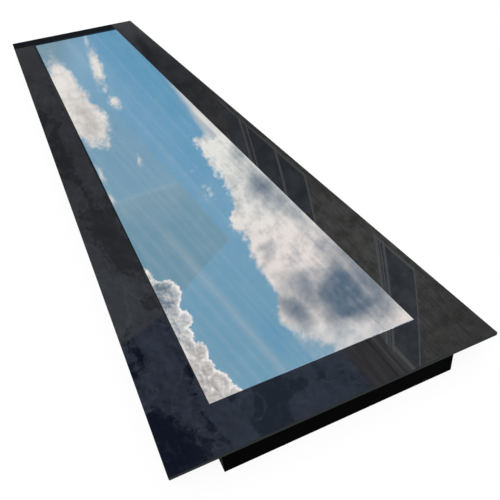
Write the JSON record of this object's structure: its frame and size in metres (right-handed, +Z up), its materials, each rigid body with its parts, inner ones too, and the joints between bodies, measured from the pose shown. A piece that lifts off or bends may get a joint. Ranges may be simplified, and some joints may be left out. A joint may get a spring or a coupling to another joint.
{
  "type": "roof skylight",
  "caption": "Fixed flat-roof skylight: long double-glazed unit with a black enamelled border, bedded on a mitred black aluminium frame that caps a roof kerb.",
  "frame": {"origin": "middle of the frame's footprint, at the lower edge of the skirt", "axes": "+Z up through the glass, +Y along the skylight towards its rear end, +X across it"},
  "size_m": [0.6, 2.6, 0.06],
  "materials": {
    "clear_glass": "polished clear toughened glass",
    "laminated_glass": "clear laminated glass",
    "mirror_coating": "mirroring solar coating behind glass",
    "black_enamel": "fired black enamel behind glass",
    "desiccant": "dull beads",
    "butyl": "dull",
    "sealant": "satin silicone",
    "screw_steel": "zinc plated",
    "packer_rubber": "dull",
    "key_plastic": "moulded",
    "cleat_metal": "as extruded",
    "spacer_plastic": "satin",
    "frame_paint": "fine textured black powder coat on aluminium",
    "gasket_rubber": "dull",
    "liner_plastic": "extruded, satin",
    "bedding_tape": "closed-cell foam",
    "seal_foam": "closed-cell foam"
  },
  "bodies": {
    "root": {"butyl_seal_lower": "butyl", "butyl_seal_upper": "butyl", "cleat_screws": "screw_steel", "corner_cleat_front_left": "cleat_metal", "corner_cleat_front_right": "cleat_metal", "corner_cleat_rear_left": "cleat_metal", "corner_cleat_rear_right": "cleat_metal", "desiccant_fill": "desiccant", "edge_packers": "packer_rubber", "edge_sealant": "sealant", "enamel_border": "black_enamel", "frame_rail_front": "frame_paint", "frame_rail_left": "frame_paint", "frame_rail_rear": "frame_paint", "frame_rail_right": "frame_paint", "glazing_tape_front": "bedding_tape", "glazing_tape_left": "bedding_tape", "glazing_tape_rear": "bedding_tape", "glazing_tape_right": "bedding_tape", "inner_liner_front": "liner_plastic", "inner_liner_left": "liner_plastic", "inner_liner_rear": "liner_plastic", "inner_liner_right": "liner_plastic", "inner_pane": "laminated_glass", "kerb_seal_front": "seal_foam", "kerb_seal_left": "seal_foam", "kerb_seal_rear": "seal_foam", "kerb_seal_right": "seal_foam", "liner_gasket_front": "gasket_rubber", "liner_gasket_left": "gasket_rubber", "liner_gasket_rear": "gasket_rubber", "liner_gasket_right": "gasket_rubber", "outer_pane": "clear_glass", "solar_coating": "mirror_coating", "spacer_bar_front": "spacer_plastic", "spacer_bar_left": "spacer_plastic", "spacer_bar_rear": "spacer_plastic", "spacer_bar_right": "spacer_plastic", "spacer_key_front_left": "key_plastic", "spacer_key_front_right": "key_plastic", "spacer_key_rear_left": "key_plastic", "spacer_key_rear_right": "key_plastic", "weather_gasket_front": "gasket_rubber", "weather_gasket_left": "gasket_rubber", "weather_gasket_rear": "gasket_rubber", "weather_gasket_right": "gasket_rubber"}
  },
  "joints": []
}
